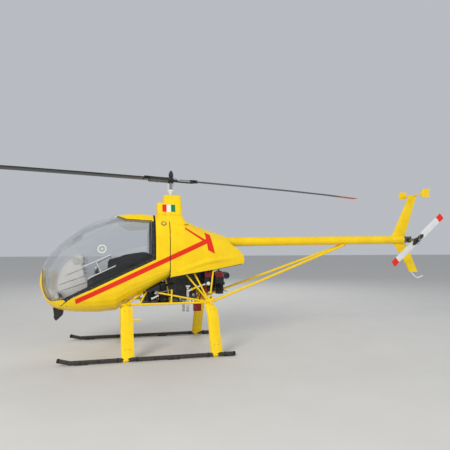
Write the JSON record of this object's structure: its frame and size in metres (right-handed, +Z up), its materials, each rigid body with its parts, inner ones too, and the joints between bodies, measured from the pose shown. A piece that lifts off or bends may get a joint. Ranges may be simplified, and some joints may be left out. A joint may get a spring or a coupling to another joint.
{
  "type": "light two-seat kit helicopter",
  "caption": "Small yellow skid-mounted helicopter with a side-hinged glazed canopy, open tube frame, slim tail boom on struts and a two-bladed teetering rotor",
  "frame": {"origin": "on the ground below the middle of the bounding box, in the craft's plane of symmetry", "axes": "+X aft along the tail boom, +Y to starboard, +Z up"},
  "size_m": [7.2468, 1.466, 2.3741],
  "materials": {
    "yellow_body": "glossy yellow lacquer on composite, red side stripe",
    "yellow_tube": "yellow lacquered steel and aluminium tube",
    "glazing": "clear acrylic bubble with a light tint",
    "black_paint": "satin black",
    "black_blade": "satin black composite blades with red tips",
    "grey_plastic": "light grey gelcoat",
    "seat_cloth": "dark woven seat cloth",
    "bright_steel": "bright stainless steel and polished alloy",
    "cast_alloy": "grey cast alloy",
    "red_paint": "red painted head covers",
    "black_rubber": "black rubber and foam"
  },
  "bodies": {
    "airframe": {"hull": "yellow_body", "seat_base": "grey_plastic", "front_seat": "seat_cloth", "rear_seat": "seat_cloth", "instrument_console": "grey_plastic", "control_stick": "black_rubber", "mast_pylon": "yellow_body", "engine_cowl": "yellow_body", "frame_left": "yellow_tube", "frame_right": "yellow_tube", "frame_front_beam": "yellow_tube", "frame_middle_beam": "yellow_tube", "frame_rear_beam": "yellow_tube", "boom_saddle": "yellow_tube", "radiator": "black_paint", "battery_box": "black_paint", "front_leg_left": "yellow_body", "front_leg_right": "yellow_body", "rear_leg_left": "yellow_body", "rear_leg_right": "yellow_body", "skid_left": "black_paint", "skid_right": "black_paint", "engine_block": "cast_alloy", "cylinder_1": "cast_alloy", "cylinder_2": "cast_alloy", "cylinder_3": "cast_alloy", "cylinder_4": "cast_alloy", "cylinder_head_1": "red_paint", "cylinder_head_2": "red_paint", "cylinder_head_3": "red_paint", "cylinder_head_4": "red_paint", "drive_case": "black_paint", "exhaust": "bright_steel", "air_filter_left": "black_rubber", "air_filter_right": "black_rubber", "oil_tank": "black_paint", "tail_boom": "yellow_tube", "boom_strut_left": "yellow_tube", "boom_strut_right": "yellow_tube", "upper_fin": "yellow_body", "lower_fin": "yellow_body", "stabiliser_tube": "yellow_tube", "stabiliser_plate_left": "yellow_body", "stabiliser_plate_right": "yellow_body", "tail_gearbox": "cast_alloy", "nose_light": "black_paint"},
    "canopy": {"canopy_glass": "glazing", "canopy_roof": "yellow_body", "canopy_chin": "yellow_body", "canopy_rim": "black_paint"},
    "main_rotor": {"mast": "bright_steel", "rotor_head": "black_paint", "main_blade_rear": "black_blade", "main_blade_front": "black_blade", "swashplate": "bright_steel"},
    "tail_rotor": {"tail_rotor_hub": "black_paint", "tail_blade_upper": "bright_steel", "tail_blade_lower": "bright_steel"}
  },
  "joints": [
    {"name": "canopy_hinge", "type": "hinge", "parent": "airframe", "child": "canopy", "pos_m": [-1.44107, 0.378, 0.85731], "axis": [-0.907, 0, -0.421], "range_deg": [0, 80]},
    {"name": "main_rotor_spin", "type": "hinge", "parent": "airframe", "child": "main_rotor", "pos_m": [-0.51107, 0, 2.24], "axis": [0, 0, 1], "continuous": true},
    {"name": "tail_rotor_spin", "type": "hinge", "parent": "airframe", "child": "tail_rotor", "pos_m": [3.16993, -0.25, 1.451], "axis": [0, 1, 0], "continuous": true}
  ],
  "couplings": [
    {"joint": "tail_rotor_spin", "follows": "main_rotor_spin", "ratio": 5.4}
  ]
}
